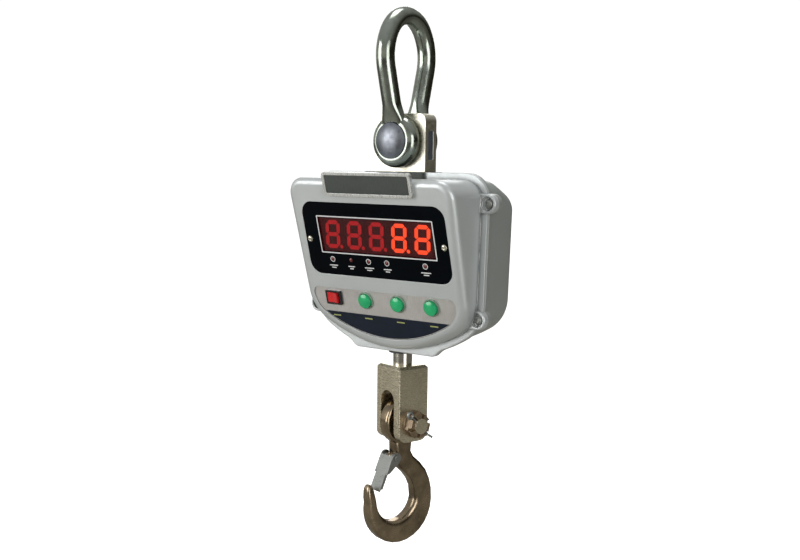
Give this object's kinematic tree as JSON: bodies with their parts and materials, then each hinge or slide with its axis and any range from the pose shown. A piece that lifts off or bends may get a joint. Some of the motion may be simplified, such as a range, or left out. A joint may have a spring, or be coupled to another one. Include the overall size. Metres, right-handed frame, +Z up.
{
  "type": "crane scale",
  "caption": "Hanging crane scale: bow shackle, load cell, slanted display casing with keys, and a swivel clevis with a latched hook.",
  "frame": {"origin": "seat inside the shackle's crown, where it hangs, on the load line", "axes": "+Z up along the load line, -Y towards the display's reader, +X to the reader's right"},
  "size_m": [0.247, 0.1254, 0.562],
  "materials": {
    "bow_steel": "forged and chrome plated, rubbed smooth",
    "pin_steel": "turned, zinc plated",
    "fastener_steel": "zinc plated",
    "load_cell_steel": "nickel plated, satin",
    "gauge_cover": "satin",
    "collar_rubber": "matt",
    "bush_plastic": "matt",
    "bearing_steel": "ground",
    "front_paint": "silver-grey powder coat, satin",
    "rear_paint": "grey powder coat, satin",
    "seal_rubber": "matt",
    "shell_screw_steel": "zinc plated",
    "nameplate_rim": "satin",
    "nameplate_face": "printed, satin",
    "panel_acrylic": "gloss",
    "lens_acrylic": "tinted, gloss",
    "panel_screw_steel": "polished",
    "digit_plastic": "matt",
    "lamp_plastic": "gloss",
    "board_green": "satin",
    "control_plate_metal": "satin",
    "label_navy": "satin",
    "bezel_black": "gloss",
    "rocker_red": "gloss",
    "button_rim": "satin",
    "housing_black": "matt",
    "button_green": "gloss",
    "battery_case": "gloss",
    "cover_paint": "grey powder coat, satin",
    "socket_black": "gloss",
    "stud_steel": "turned, polished",
    "clevis_steel": "machined, nickel plated",
    "clevis_washer_steel": "passivated",
    "hook_steel": "forged, plated and rubbed",
    "latch_steel": "zinc plated",
    "spring_steel": "drawn wire"
  },
  "bodies": {
    "shackle": {"shackle_bow": "bow_steel", "shackle_pin": "pin_steel", "shackle_washer": "fastener_steel", "shackle_split_pin": "fastener_steel"},
    "casing": {"load_cell": "load_cell_steel", "gauge_covers": "gauge_cover", "top_collar": "collar_rubber", "stud_bush": "bush_plastic", "thrust_race_lower": "bearing_steel", "front_shell": "front_paint", "rear_shell": "rear_paint", "shell_seal": "seal_rubber", "shell_screws": "shell_screw_steel", "nameplate": "nameplate_rim", "nameplate_insert": "nameplate_face", "display_panel": "panel_acrylic", "display_lens": "lens_acrylic", "panel_screws": "panel_screw_steel", "digit_modules": "digit_plastic", "indicator_lamps": "lamp_plastic", "display_board": "board_green", "control_plate": "control_plate_metal", "control_label": "label_navy", "rocker_bezel": "bezel_black", "button_bezels": "button_rim", "button_housings": "housing_black", "main_board": "board_green", "battery": "battery_case", "battery_cover": "cover_paint", "battery_cover_seal": "seal_rubber", "battery_cover_screws": "fastener_steel", "charging_socket": "socket_black"},
    "rocker": {"rocker": "rocker_red"},
    "button_left": {"button_left": "button_green"},
    "button_middle": {"button_middle": "button_green"},
    "button_right": {"button_right": "button_green"},
    "clevis": {"swivel_stud": "stud_steel", "stud_nut": "fastener_steel", "stud_split_pin": "fastener_steel", "thrust_race_upper": "bearing_steel", "thrust_balls": "bearing_steel", "clevis": "clevis_steel", "clevis_pin": "clevis_steel", "clevis_washer": "clevis_washer_steel", "clevis_nut": "clevis_washer_steel", "clevis_split_pin": "latch_steel"},
    "hook": {"hook": "hook_steel", "latch_pin": "latch_steel", "latch_spring": "spring_steel"},
    "latch": {"latch": "latch_steel"}
  },
  "joints": [
    {"name": "shackle_swing", "type": "hinge", "parent": "shackle", "child": "casing", "pos_m": [0, 0, -0.118], "axis": [0, 1, 0], "range_deg": [-100, 100]},
    {"name": "hook_swivel", "type": "hinge", "parent": "casing", "child": "clevis", "pos_m": [0, 0, -0.3435], "axis": [0, 0, 1], "continuous": true},
    {"name": "hook_swing", "type": "hinge", "parent": "clevis", "child": "hook", "pos_m": [0, 0, -0.412], "axis": [0.9659, -0.2588, 0], "range_deg": [-110, 110]},
    {"name": "latch_turn", "type": "hinge", "parent": "hook", "child": "latch", "pos_m": [-0.00362, -0.01352, -0.449], "axis": [0.9659, -0.2588, 0], "range_deg": [0, 50], "stiffness_Nm_per_rad": 0.05, "springref_deg": -22.92},
    {"name": "rocker_press", "type": "hinge", "parent": "casing", "child": "rocker", "pos_m": [-0.0653, -0.03168, -0.2822], "axis": [0, -0.2588, 0.9659], "range_deg": [0, 16]},
    {"name": "button_left_press", "type": "slide", "parent": "casing", "child": "button_left", "axis": [0, 0.9659, 0.2588], "range_m": [0, 0.002], "stiffness_N_per_m": 400},
    {"name": "button_middle_press", "type": "slide", "parent": "casing", "child": "button_middle", "axis": [0, 0.9659, 0.2588], "range_m": [0, 0.002], "stiffness_N_per_m": 400},
    {"name": "button_right_press", "type": "slide", "parent": "casing", "child": "button_right", "axis": [0, 0.9659, 0.2588], "range_m": [0, 0.002], "stiffness_N_per_m": 400}
  ]
}
